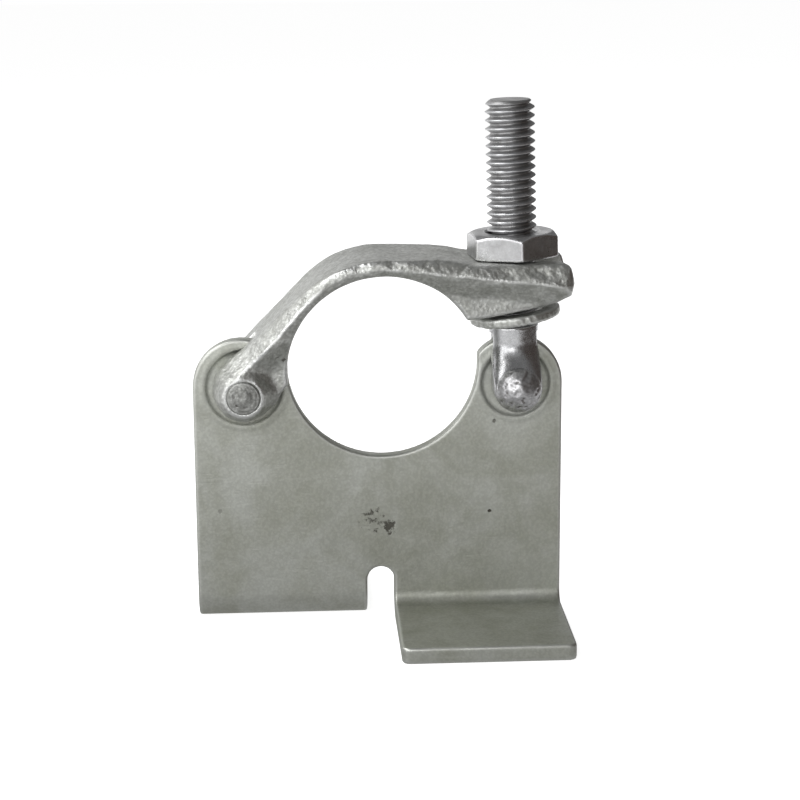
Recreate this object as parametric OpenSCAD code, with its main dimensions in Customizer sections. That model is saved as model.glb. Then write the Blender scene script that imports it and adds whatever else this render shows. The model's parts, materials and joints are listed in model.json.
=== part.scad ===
// Board retaining coupler for 48.3 mm scaffold tube.
// Origin: centre of the tube seat, on the mid-plane of the plate.
// +Z up, +X from the flap hinge to the swing bolt, +Y to the back.

/* [Tube seat] */
// Radius of the round seat that grips the tube
seat_r = 24.2; // [24.15:0.01:24.3]

/* [Plate] */
// Thickness of the pressed plate
plate_t = 4.2; // [3.6:0.1:4.4]
// Left edge of the plate
plate_left = -48.2; // [-49:0.1:-47.6]
// Right edge of the plate
plate_right = 45.8; // [45.6:0.1:46.2]
// Level of the surface that the feet stand on
base_z = -67.8; // [-80:0.1:-62]
// Radius of the left ear
left_ear_r = 12.4; // [12:0.1:12.6]
// Radius of the right ear
right_ear_r = 12.2; // [12:0.1:12.4]
// Depth of the round pressed seats on the faces of the ears
coin_depth = 0.5; // [0.2:0.1:0.8]

/* [Feet] */
// Reach of each foot from the plate's mid-plane
foot_reach = 37.4; // [25:0.1:60]
// Inside radius of the bends
bend_r = 3; // [2:0.1:5]
// Radius of the outer corners of the feet
foot_corner_r = 2; // [1:0.5:8]
// Left edge of the front foot
front_foot_left = 2.6; // [2:0.1:8]
// Right edge of the back foot
back_foot_right = -4.4; // [-10:0.1:-4]
// Level of the top of the relief notch between the feet
notch_top = -54; // [-58:0.5:-48]

/* [Pivots] */
// Level of both pivots
pivot_z = -5.6; // [-6:0.1:-5.2]
// Place of the flap's pivot
hinge_x = -35.2; // [-35.4:0.1:-35]
// Place of the bolt's pivot
bolt_x = 33.8; // [33.6:0.1:34]
// Radius of the flap's rivet
hinge_rivet_r = 4; // [3.5:0.1:4.2]
// Radius of the bolt's rivet
bolt_rivet_r = 4.2; // [3.5:0.1:4.4]
// Radial clearance of the rivets in their holes
rivet_gap = 0.06; // [0.02:0.01:0.1]

/* [Flap] */
// Greatest half width, on the forging's parting line
flap_half_w = 15; // [14.5:0.1:16]
// Outside radius of the arch over the tube
arch_r = 28.4; // [28.2:0.1:28.6]
// Height of the parting line above the seat's centre, at the crown
parting_r = 26.2; // [25.8:0.1:26.6]
// Radius of the hinge bosses
boss_r = 8; // [7.8:0.1:9.2]
// Half width of the slots that straddle the ears
ear_slot = 2.5; // [2.4:0.05:2.8]
// Half width of the open slot for the bolt
bolt_slot = 7; // [6.9:0.1:7.2]

/* [Swing bolt] */
// Major diameter of the thread
bolt_d = 12.5; // [12.3:0.1:12.6]
// Pitch of the thread, twelve to the inch
thread_pitch = 2.117; // [1.75:0.001:2.2]
// Lean of the bolt towards the flap
bolt_lean = 1.4; // [0.8:0.1:1.8]
// Length from the pivot to the free end
bolt_len = 71.8; // [65:0.1:80]
// Distance from the pivot to the first turn of the thread
thread_start = 15.2; // [15:0.1:17]

/* [Nut and washer] */
// Width across the flats of the nut
nut_af = 21; // [20.6:0.1:21.4]
// Height of the nut
nut_h = 6.2; // [5.5:0.1:8]
// Turn of the nut about the bolt
nut_turn = -23.4; // [-30:0.1:30]
// Distance from the bolt's pivot to the underside of the nut
nut_seat = 32.62; // [32.62:0.02:33.4]
// Outside radius of the washer
washer_r = 11.6; // [11:0.1:11.8]
// Radius of the washer's hole
washer_hole_r = 7.1; // [7.1:0.1:7.3]
// Thickness of the washer
washer_t = 2.6; // [2:0.1:2.8]
// Tilt at which the washer hangs on the bolt
washer_tilt = 7.8; // [6:0.1:8.5]

/* [Hidden] */
$fn = 96;
eps = 0.01;
half_t = plate_t / 2;
bend_outer_r = bend_r + plate_t;
bend_top = base_z + bend_outer_r;
coin_left_r = 9.6;
coin_right_r = 8.6;
steel = [0.62, 0.64, 0.60];
forged = [0.68, 0.70, 0.67];
bright = [0.78, 0.78, 0.79];
dull = [0.45, 0.46, 0.46];

// Flap
arch_rise = arch_r - parting_r;
straight_half_w = flap_half_w - 0.1;
crown_z = arch_r - 0.35;
fork_top = 26.7;
fork_back_x = 21.2;
nose_x = 47.8;
nose_z = 21.5;
heel_z = 12.3;
parting_drop = 6.5;
lap = 4;
arm_reach = 25.5;
arm_angle = 45;
sweep_len = 70;
boss_face = 13.8;
boss_dome_r = 13;
boss_side = 10.4;
hinge_slot_r = 13.6;
slot_end_x = bolt_x - 0.8;

// Swing bolt
bolt_r = bolt_d / 2;
thread_depth = 0.64 * thread_pitch;
core_r = bolt_r - thread_depth;
eye_r = 6.6;
cheek_face = 10.6;
slot_depth = 14.4;
bolt_chamfer = 1.2;
thread_end = bolt_len - 1.6;
turns = floor((thread_end - thread_start) / thread_pitch);
nut_bore_r = bolt_r + 0.1;
washer_x = 33.82;
washer_z = 12;

// A round bar along Y, centred on the mid-plane
module bar_y(x, z, r, half_len) {
  translate([x, 0, z])
    rotate([90, 0, 0])
      cylinder(r = r, h = 2 * half_len, center = true);
}

// A flat outline in X and Z, given a width along Y
module slab(half_w) {
  rotate([90, 0, 0])
    linear_extrude(height = 2 * half_w, center = true)
      children();
}

// The bolt's own axes: Z along the thread, origin on the pivot
module on_bolt() {
  translate([bolt_x, 0, pivot_z])
    rotate([0, -bolt_lean, 0])
      children();
}

// Bent strip: a quarter turn from the plate to the foot
module bend(x0, x1) {
  translate([x0, 0, 0])
    rotate([90, 0, 90])
      linear_extrude(height = x1 - x0)
        translate([half_t + bend_r, bend_top])
          intersection() {
            difference() {
              circle(r = bend_outer_r);
              circle(r = bend_r);
            }
            translate([-bend_outer_r, -bend_outer_r])
              square(bend_outer_r + eps);
          }
}

// Flat part of a foot, with its two outer corners rounded
module foot_flat(x0, x1) {
  y0 = half_t + bend_r;
  translate([0, 0, base_z])
    linear_extrude(height = plate_t)
      union() {
        translate([x0, y0])
          square([x1 - x0, foot_reach - foot_corner_r - y0]);
        translate([x0 + foot_corner_r, y0])
          square([x1 - x0 - 2 * foot_corner_r, foot_reach - y0]);
        translate([x0 + foot_corner_r, foot_reach - foot_corner_r])
          circle(r = foot_corner_r);
        translate([x1 - foot_corner_r, foot_reach - foot_corner_r])
          circle(r = foot_corner_r);
      }
}

// A foot bent to the back; mirrored for the front
module foot(x0, x1) {
  bend(x0, x1);
  foot_flat(x0, x1);
}

// Shallow round seat pressed into both faces of an ear
module coin(x, r) {
  for (side = [-1, 1])
    translate([x, side * half_t, pivot_z])
      rotate([90, 0, 0])
        cylinder(r = r, h = 2 * coin_depth, center = true);
}

// Front outline of the plate above the bends
module plate_outline() {
  notch_r = (front_foot_left - back_foot_right) / 2;
  notch_x = (front_foot_left + back_foot_right) / 2;
  difference() {
    union() {
      translate([plate_left, bend_top])
        square([plate_right - plate_left, pivot_z - bend_top]);
      translate([plate_left + left_ear_r, pivot_z])
        circle(r = left_ear_r);
      translate([plate_right - right_ear_r, pivot_z])
        circle(r = right_ear_r);
    }
    circle(r = seat_r);
    translate([notch_x, notch_top - notch_r])
      circle(r = notch_r);
    translate([back_foot_right, base_z])
      square([2 * notch_r, notch_top - notch_r - base_z]);
  }
}

module body_plate() {
  color(steel)
    difference() {
      union() {
        slab(half_t)
          plate_outline();
        foot(plate_left, back_foot_right);
        mirror([0, 1, 0])
          foot(front_foot_left, plate_right);
      }
      coin(hinge_x, coin_left_r);
      coin(bolt_x, coin_right_r);
      bar_y(hinge_x, pivot_z, hinge_rivet_r + rivet_gap, plate_t);
      bar_y(bolt_x, pivot_z, bolt_rivet_r + rivet_gap, plate_t);
    }
}

// A point at a radius from the seat's centre, at an angle forward of the crown
function rim(r, angle) = [r * sin(angle), r * cos(angle)];

// Half width of the forging at heights from its parting line, from the sole up
function section(w) = [
  [-20, w - 3.5], [-12, w - 3.5], [-arch_rise, w - 2], [0, w], [arch_rise, w - 2]
];
function section_top(w) = [arch_rise + 5, w - 3.5];

// A closed outline from one half and its mirror image
function both_sides(half) =
  concat(half, [for (i = [len(half) - 1 : -1 : 0]) [-half[i][0], half[i][1]]]);

// The forging's cross-section, swept straight along a tangent of the arch
module straight_sweep(angle, w, start) {
  points = concat(section(w), [section_top(w)]);
  rotate([0, angle, 0])
    translate([start, 0, parting_r])
      rotate([90, 0, 90])
        linear_extrude(height = sweep_len)
          polygon(both_sides([for (p = points) [p[1], p[0]]]));
}

// Arch over the tube: the same cross-section turned about the seat's centre
module arch() {
  intersection() {
    rotate([90, 0, 0])
      rotate_extrude()
        rotate(-90)
          polygon(both_sides([for (p = section(flap_half_w)) [p[1], parting_r + p[0]]]));
    slab(2 * flap_half_w)
      polygon([
        [0, 0], rim(2 * arch_r, -arm_angle), [0, 2 * arch_r], rim(2 * arch_r, parting_drop)
      ]);
  }
}

// Side outline of the fork, from the crown to the nose and back along the sole
module fork_outline() {
  polygon([
    rim(arch_r - 0.3, parting_drop - lap), [13, crown_z], [fork_back_x, fork_top],
    [44.5, fork_top],
    [46.6, fork_top - 1.2], [nose_x, nose_z], [46.6, 18.6], [43.6, 16.8], [36, 14.7],
    [31, 13.8], [25.4, 12.9], [20.2, heel_z], rim(seat_r - 8, parting_drop - lap)
  ]);
}

// Side outline of the straight arm down to the hinge
module arm_outline() {
  polygon([
    rim(arch_r - 0.3, lap - arm_angle), rim(arch_r - 0.15, -arm_angle),
    rim(arch_r - 0.15, -arm_angle) - arm_reach * [cos(arm_angle), sin(arm_angle)],
    [hinge_x, pivot_z], [-28, -8.5], [-24.2, -3.4], [-15, 5],
    rim(seat_r - 8, lap - arm_angle)
  ]);
}

// Left and right hinge bosses: a short drum under a dome, with a flat end
module hinge_boss() {
  translate([hinge_x, 0, pivot_z])
    rotate([90, 0, 0])
      intersection() {
        cylinder(r = boss_r, h = 2 * boss_face, center = true);
        union() {
          cylinder(r = boss_r, h = 2 * boss_side, center = true);
          for (side = [-1, 1])
            translate([0, 0, side * 1.2])
              sphere(r = boss_dome_r);
        }
      }
}

// Plan of the open slot in the fork
module slot_outline() {
  translate([slot_end_x, 0])
    circle(r = bolt_slot);
  translate([slot_end_x, -bolt_slot])
    square([nose_x, 2 * bolt_slot]);
}

module flap() {
  color(forged)
    difference() {
      union() {
        arch();
        intersection() {
          slab(2 * flap_half_w)
            fork_outline();
          straight_sweep(parting_drop, straight_half_w, -3);
        }
        intersection() {
          slab(2 * flap_half_w)
            arm_outline();
          straight_sweep(-arm_angle, straight_half_w, 3 - sweep_len);
        }
        hinge_boss();
      }
      bar_y(0, 0, seat_r, 2 * flap_half_w);
      bar_y(hinge_x, pivot_z, hinge_slot_r, ear_slot);
      bar_y(hinge_x, pivot_z, hinge_rivet_r + rivet_gap, 2 * flap_half_w);
      linear_extrude(height = 2 * arch_r)
        slot_outline();
    }
}

// Rivet along Y with a low domed head at each end
module rivet(x, r, head_r, face, rise) {
  dome_r = (head_r * head_r + rise * rise) / (2 * rise);
  bar_y(x, pivot_z, r, face);
  translate([x, 0, pivot_z])
    rotate([90, 0, 0])
      for (side = [0, 1])
        mirror([0, 0, side])
          translate([0, 0, face])
            intersection() {
              cylinder(r = head_r, h = rise);
              translate([0, 0, rise - dome_r])
                sphere(r = dome_r);
            }
}

module hinge_rivet() {
  color(dull)
    rivet(hinge_x, hinge_rivet_r, hinge_rivet_r + 0.7, boss_face, 1.2);
}

module bolt_rivet() {
  color(bright)
    rivet(bolt_x, bolt_rivet_r, 5.8, cheek_face, 4.2);
}

// Threaded bar as one outline turned about the bolt's axis, with a ring for each turn
module thread_body() {
  rotate_extrude()
    polygon(concat(
      [[0, 0], [bolt_r, 0], [bolt_r, thread_start]],
      [for (i = [0 : turns - 1], step = [0 : 2])
        [step == 1 ? core_r : bolt_r,
         thread_start + thread_pitch * (i + [0.1, 0.5, 0.9][step])]],
      [[bolt_r, thread_end], [bolt_r - bolt_chamfer, bolt_len], [0, bolt_len]]
    ));
}

// Forged lower end, wide across Y, narrow across X
module forked_end() {
  intersection() {
    rotate_extrude()
      polygon([
        [0, -eye_r], [cheek_face, -eye_r], [cheek_face, 1.5], [bolt_r, 10.5],
        [bolt_r, 12], [0, 12]
      ]);
    slab(cheek_face)
      union() {
        circle(r = eye_r);
        translate([-eye_r, 0])
          square([2 * eye_r, 12]);
      }
  }
}

module swing_bolt() {
  color(bright)
    difference() {
      on_bolt()
        difference() {
          union() {
            thread_body();
            forked_end();
          }
          translate([-2 * bolt_d, -ear_slot, -slot_depth])
            cube([4 * bolt_d, 2 * ear_slot, 2 * slot_depth]);
        }
      bar_y(bolt_x, pivot_z, bolt_rivet_r + rivet_gap, 2 * cheek_face);
    }
}

module washer() {
  color(forged)
    translate([washer_x, 0, washer_z])
      rotate([0, -washer_tilt, 0])
        difference() {
          cylinder(r = washer_r, h = washer_t, center = true);
          cylinder(r = washer_hole_r, h = 2 * washer_t, center = true);
        }
}

module nut() {
  corner_r = nut_af / 2 / cos(30);
  cone_r = corner_r + 1;
  face_r = nut_af / 2 - 0.4;
  color(bright)
    on_bolt()
      translate([0, 0, nut_seat])
        difference() {
          intersection() {
            rotate([0, 0, nut_turn])
              cylinder(r = corner_r, h = nut_h, $fn = 6);
            rotate_extrude()
              polygon([
                [0, -1], [cone_r, -1], [cone_r, nut_h - (cone_r - face_r) * tan(30)],
                [face_r, nut_h], [0, nut_h]
              ]);
          }
          translate([0, 0, -1])
            cylinder(r = nut_bore_r, h = 2 * nut_h);
        }
}

body_plate();
flap();
hinge_rivet();
swing_bolt();
bolt_rivet();
washer();
nut();
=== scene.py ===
"""A board retaining coupler for scaffold tube: pressed plate, forged flap, swing bolt, washer and nut."""
import json
import logging
import math
from dataclasses import dataclass
from enum import Enum
from typing import Callable, Sequence

import bpy
import numpy as np
from mathutils import Matrix


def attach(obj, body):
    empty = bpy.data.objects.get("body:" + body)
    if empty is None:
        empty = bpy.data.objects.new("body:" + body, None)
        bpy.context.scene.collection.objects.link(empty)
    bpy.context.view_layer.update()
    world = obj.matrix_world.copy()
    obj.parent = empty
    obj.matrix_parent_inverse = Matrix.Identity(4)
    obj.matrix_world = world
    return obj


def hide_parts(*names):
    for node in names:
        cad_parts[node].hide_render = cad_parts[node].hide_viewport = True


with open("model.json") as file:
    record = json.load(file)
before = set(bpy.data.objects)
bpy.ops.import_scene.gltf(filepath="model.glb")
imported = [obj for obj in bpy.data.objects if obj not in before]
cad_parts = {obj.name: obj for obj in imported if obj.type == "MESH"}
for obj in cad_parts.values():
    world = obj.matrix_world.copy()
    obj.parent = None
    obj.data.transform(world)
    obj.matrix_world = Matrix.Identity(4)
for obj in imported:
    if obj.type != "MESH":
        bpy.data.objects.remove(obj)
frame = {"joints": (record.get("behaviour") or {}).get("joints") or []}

LOG = logging.getLogger("coupler")
MM = 0.001
Array = np.ndarray
Shape = Callable[[Array, Array, Array], Array]
Point2 = tuple[float, float]
Point3 = tuple[float, float, float]
Colour = tuple[float, float, float]
Face = Sequence[int]


class Slot(Enum):
    """The record's material slots."""

    PLATE = "zinc_plate"
    FORGING = "zinc_forging"
    RIVET = "rivet_steel"
    BRIGHT = "zinc_bright"
    WASHER = "zinc_washer"
    NUT = "zinc_nut"


class Body(Enum):
    """The moving bodies of the frame."""

    PLATE = "plate"
    FLAP = "flap_arm"
    BOLT = "bolt_arm"
    WASHER = "loose_washer"
    NUT = "clamp_nut"


# ---------------------------------------------------------------- solids from distance fields


def trim(a: Array, b: Array, radius: float) -> Array:
    """Keeps what is inside both shapes, with the edge between them rounded.

    Args:
        a: Signed distance to the first shape, negative inside.
        b: Signed distance to the second shape.
        radius: Radius of the rounded edge.

    Returns:
        Signed distance to the trimmed shape.
    """
    u = np.maximum(a + radius, 0)
    v = np.maximum(b + radius, 0)
    return np.minimum(np.maximum(a, b), -radius) + np.hypot(u, v)


def weld(a: Array, b: Array, radius: float) -> Array:
    """Joins two shapes, with a fillet in the corner between them.

    Args:
        a: Signed distance to the first shape, negative inside.
        b: Signed distance to the second shape.
        radius: Radius of the fillet.

    Returns:
        Signed distance to the joined shape.
    """
    u = np.maximum(radius - a, 0)
    v = np.maximum(radius - b, 0)
    return np.maximum(np.minimum(a, b), radius) - np.hypot(u, v)


def ease(low: float, high: float, x: Array) -> Array:
    """A smooth step from 0 at low to 1 at high."""
    t = np.clip((x - low) / (high - low), 0, 1)
    return t * t * (3 - 2 * t)


def lumps(x: Array, y: Array, z: Array, size: float, seed: int) -> Array:
    """A smooth random surface of waves in many directions.

    Args:
        x: Places along X.
        y: Places along Y.
        z: Places along Z.
        size: Typical distance from one crest to the next.
        seed: Fixed seed of the wave directions.

    Returns:
        Heights, mostly from -1 to 1.
    """
    rng = np.random.default_rng(seed)
    total = 0.0
    for _ in range(7):
        way = rng.normal(size=3)
        way *= 2 * math.pi / size * rng.uniform(0.6, 1.5) / np.linalg.norm(way)
        total = total + np.sin(way[0] * x + way[1] * y + way[2] * z + rng.uniform(0, 6.3))
    return total / 2.6


def outline(px: Array, pz: Array, points: Sequence[Point2]) -> Array:
    """Signed distance to a closed outline of straight edges.

    Args:
        px: First coordinate of the places to measure.
        pz: Second coordinate of the places to measure.
        points: Corners of the outline, in order.

    Returns:
        Distance, negative inside.
    """
    px, pz = np.broadcast_arrays(px, pz)
    nearest = np.full(px.shape, np.inf)
    inside = np.zeros(px.shape, bool)
    corners = np.asarray(points, float)
    for (ax, az), (bx, bz) in zip(corners, np.roll(corners, -1, axis=0)):
        ex, ez = bx - ax, bz - az
        if ex * ex + ez * ez < 1e-12:
            continue
        wx, wz = px - ax, pz - az
        t = np.clip((wx * ex + wz * ez) / (ex * ex + ez * ez), 0, 1)
        nearest = np.minimum(nearest, (wx - ex * t) ** 2 + (wz - ez * t) ** 2)
        above, below, left = pz >= az, pz < bz, ex * wz > ez * wx
        inside ^= (above & below & left) | (~above & ~below & ~left)
    return np.where(inside, -1, 1) * np.sqrt(nearest)


def arc(centre: Point2, radius: float, start: float, end: float, steps: int = 16) -> list[Point2]:
    """Points along a circular arc.

    Args:
        centre: Centre of the arc.
        radius: Radius of the arc.
        start: Angle of the first point, in degrees.
        end: Angle of the last point, in degrees.
        steps: Number of straight steps.

    Returns:
        The points, from start to end.
    """
    angles = np.radians(np.linspace(start, end, steps + 1))
    return [(centre[0] + radius * math.cos(a), centre[1] + radius * math.sin(a)) for a in angles]


def surface_nets(shape: Shape, low: Point3, high: Point3, cell: float) -> tuple[Array, Array]:
    """Meshes the zero surface of a distance field with one vertex for each cell that it crosses.

    Args:
        shape: The distance field, negative inside.
        low: Lowest corner of the box to search.
        high: Highest corner of the box to search.
        cell: Size of a cell.

    Returns:
        Vertices, and four-sided faces that point outwards.
    """
    axes = [np.arange(lo, hi + cell, cell) for lo, hi in zip(low, high)]
    size = tuple(len(a) for a in axes)
    values = np.array(np.broadcast_to(shape(*np.ix_(*axes)), size), np.float64)
    inside = values < 0
    cells = tuple(n - 1 for n in size)
    count = np.zeros(cells)
    places = np.zeros(cells + (3,))
    crossings = []
    for a in range(3):
        first = [slice(None)] * 3
        second = [slice(None)] * 3
        first[a], second[a] = slice(None, -1), slice(1, None)
        v0, v1 = values[tuple(first)], values[tuple(second)]
        cross = inside[tuple(first)] != inside[tuple(second)]
        t = np.where(cross, v0 / np.where(cross, v0 - v1, 1), 0)
        crossings.append((cross, inside[tuple(first)]))
        b, c = [k for k in range(3) if k != a]
        for ob in (0, 1):
            for oc in (0, 1):
                part = [slice(None)] * 3
                part[b] = slice(ob, ob + cells[b])
                part[c] = slice(oc, oc + cells[c])
                hit = cross[tuple(part)]
                count += hit
                places[..., a] += t[tuple(part)]
                places[..., b] += ob * hit
                places[..., c] += oc * hit
    active = count > 0
    index = np.full(cells, -1, np.int64)
    index[active] = np.arange(active.sum())
    origin = np.argwhere(active)
    verts = (origin + places[active] / count[active][:, None]) * cell + np.asarray(low, float)
    faces = []
    for a in range(3):
        b, c = (a + 1) % 3, (a + 2) % 3
        cross, starts_inside = crossings[a]
        spots = np.argwhere(cross)
        spots = spots[(spots[:, b] > 0) & (spots[:, c] > 0)]
        spots = spots[(spots[:, b] < size[b] - 1) & (spots[:, c] < size[c] - 1)]
        ring = []
        for ob, oc in ((-1, -1), (0, -1), (0, 0), (-1, 0)):
            at = spots.copy()
            at[:, b] += ob
            at[:, c] += oc
            ring.append(index[at[:, 0], at[:, 1], at[:, 2]])
        quads = np.stack(ring, axis=1)
        outward = starts_inside[tuple(spots.T)]
        faces.append(np.where(outward[:, None], quads, quads[:, ::-1]))
    return settle(shape, verts, cell), np.concatenate(faces)


def settle(shape: Shape, verts: Array, cell: float) -> Array:
    """Moves vertices onto the zero surface of the field.

    Args:
        shape: The distance field.
        verts: Vertices close to its surface.
        cell: Size of a cell, which limits each move.

    Returns:
        The moved vertices.
    """
    step, flattest, furthest = 0.03, 0.25, 0.5 * cell
    for _ in range(2):
        here = shape(verts[:, 0], verts[:, 1], verts[:, 2])
        slope = np.empty_like(verts)
        for k in range(3):
            moved = verts.copy()
            moved[:, k] += step
            slope[:, k] = (shape(moved[:, 0], moved[:, 1], moved[:, 2]) - here) / step
        steep = np.maximum((slope**2).sum(1), flattest)
        verts = verts - np.clip(slope * (here / steep)[:, None], -furthest, furthest)
    return verts


def surface_bend(verts: Array, quads: Array) -> Array:
    """How sharply the surface bends at each vertex: above 0 on outer edges, below 0 in corners.

    Args:
        verts: Vertices in millimetres.
        quads: Four-sided faces.

    Returns:
        Mean curvature per millimetre, smoothed a little.
    """
    cross = np.cross(verts[quads[:, 2]] - verts[quads[:, 0]], verts[quads[:, 3]] - verts[quads[:, 1]])
    normals = np.zeros_like(verts)
    for k in range(4):
        for axis in range(3):
            normals[:, axis] += np.bincount(quads[:, k], cross[:, axis], len(verts))
    normals /= np.maximum(np.linalg.norm(normals, axis=1), 1e-12)[:, None]
    a = quads.ravel()
    b = np.roll(quads, -1, axis=1).ravel()
    a, b = np.concatenate([a, b]), np.concatenate([b, a])
    gap = verts[b] - verts[a]
    turn = ((normals[b] - normals[a]) * gap).sum(1) / np.maximum((gap**2).sum(1), 1e-6)
    share = np.maximum(np.bincount(a, minlength=len(verts)), 1)
    bend = np.bincount(a, turn, len(verts)) / share
    own = 0.4
    for _ in range(2):
        bend = own * bend + (1 - own) * np.bincount(a, bend[b], len(verts)) / share
    return bend


def leaned(verts: Array, pivot: Point2, degrees: float) -> Array:
    """Turns points from a leaning piece's own axes into the frame's.

    Args:
        verts: Points in the piece's axes.
        pivot: Place of the piece's origin, along X and Z.
        degrees: How far the piece's own Z leans to the left.

    Returns:
        Points in the frame's axes.
    """
    c, s = math.cos(math.radians(degrees)), math.sin(math.radians(degrees))
    u, v, w = verts.T
    return np.stack([pivot[0] + u * c - w * s, v, pivot[1] + u * s + w * c], axis=1)


# ---------------------------------------------------------------- node trees


@dataclass
class Board:
    """A node tree that is filled one node at a time."""

    tree: bpy.types.NodeTree

    def add(self, kind: str, **settings: object) -> bpy.types.Node:
        """Adds a node and sets its properties.

        Args:
            kind: The node's type.
            settings: Properties of the node.

        Returns:
            The node.
        """
        node = self.tree.nodes.new(kind)
        for name, value in settings.items():
            setattr(node, name, value)
        return node

    def put(self, source: object, target: bpy.types.NodeSocket) -> None:
        """Links a socket, or sets a constant, into an input.

        Args:
            source: The socket or the constant.
            target: The input.
        """
        if isinstance(source, bpy.types.NodeSocket):
            self.tree.links.new(source, target)
        else:
            target.default_value = source

    def maths(self, operation: str, *values: object, clamp: bool = False) -> bpy.types.NodeSocket:
        """Adds one step of arithmetic.

        Args:
            operation: What it does.
            values: Sockets or constants that it works on.
            clamp: Whether to hold the result between 0 and 1.

        Returns:
            The result.
        """
        node = self.add("ShaderNodeMath", operation=operation, use_clamp=clamp)
        for value, target in zip(values, node.inputs):
            self.put(value, target)
        return node.outputs[0]

    def span(
        self, value: object, low: float, high: float, to_low: float = 0.0, to_high: float = 1.0
    ) -> bpy.types.NodeSocket:
        """Maps a value from one span to another, smoothly and held at the ends.

        Args:
            value: The socket to map.
            low: Where the source span starts.
            high: Where the source span ends.
            to_low: Result at low.
            to_high: Result at high.

        Returns:
            The mapped socket.
        """
        node = self.add("ShaderNodeMapRange", interpolation_type="SMOOTHSTEP")
        self.put(value, node.inputs["Value"])
        ends = {"From Min": low, "From Max": high, "To Min": to_low, "To Max": to_high}
        for name, number in ends.items():
            node.inputs[name].default_value = number
        return node.outputs["Result"]

    def noise(
        self, vector: object, scale: object, detail: float = 3.0, rough: float = 0.55, warp: float = 0.0
    ) -> bpy.types.NodeSocket:
        """A noise pattern.

        Args:
            vector: Coordinates of the pattern.
            scale: Features for each metre.
            detail: Layers of finer noise.
            rough: Strength of the finer layers.
            warp: How far the pattern is drawn out of shape.

        Returns:
            Its value from 0 to 1.
        """
        node = self.add("ShaderNodeTexNoise")
        values = {"Vector": vector, "Scale": scale, "Detail": detail, "Roughness": rough, "Distortion": warp}
        for name, value in values.items():
            self.put(value, node.inputs[name])
        return node.outputs["Fac"]

    def blend(self, factor: object, first: object, second: object) -> bpy.types.NodeSocket:
        """Mixes two colours.

        Args:
            factor: Share of the second colour.
            first: The colour at 0.
            second: The colour at 1.

        Returns:
            The mixed colour.
        """
        node = self.add("ShaderNodeMix", data_type="RGBA")
        factor_in, first_in, second_in, colour_out = 0, 6, 7, 2
        self.put(factor, node.inputs[factor_in])
        self.put(first, node.inputs[first_in])
        self.put(second, node.inputs[second_in])
        return node.outputs[colour_out]


def new_group(name: str, inputs: dict[str, str], outputs: dict[str, str]) -> tuple[Board, dict, dict]:
    """Starts a shader node group.

    Args:
        name: Name of the group.
        inputs: Socket type of each named input.
        outputs: Socket type of each named output.

    Returns:
        The board to build on, the group's incoming sockets, and its outgoing ones.
    """
    tree = bpy.data.node_groups.new(name, "ShaderNodeTree")
    for label, kind in inputs.items():
        tree.interface.new_socket(label, in_out="INPUT", socket_type=kind)
    for label, kind in outputs.items():
        tree.interface.new_socket(label, in_out="OUTPUT", socket_type=kind)
    board = Board(tree)
    way_in, way_out = board.add("NodeGroupInput"), board.add("NodeGroupOutput")
    return board, {k: way_in.outputs[k] for k in inputs}, {k: way_out.inputs[k] for k in outputs}


FLOAT, VECTOR = "NodeSocketFloat", "NodeSocketVector"


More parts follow.
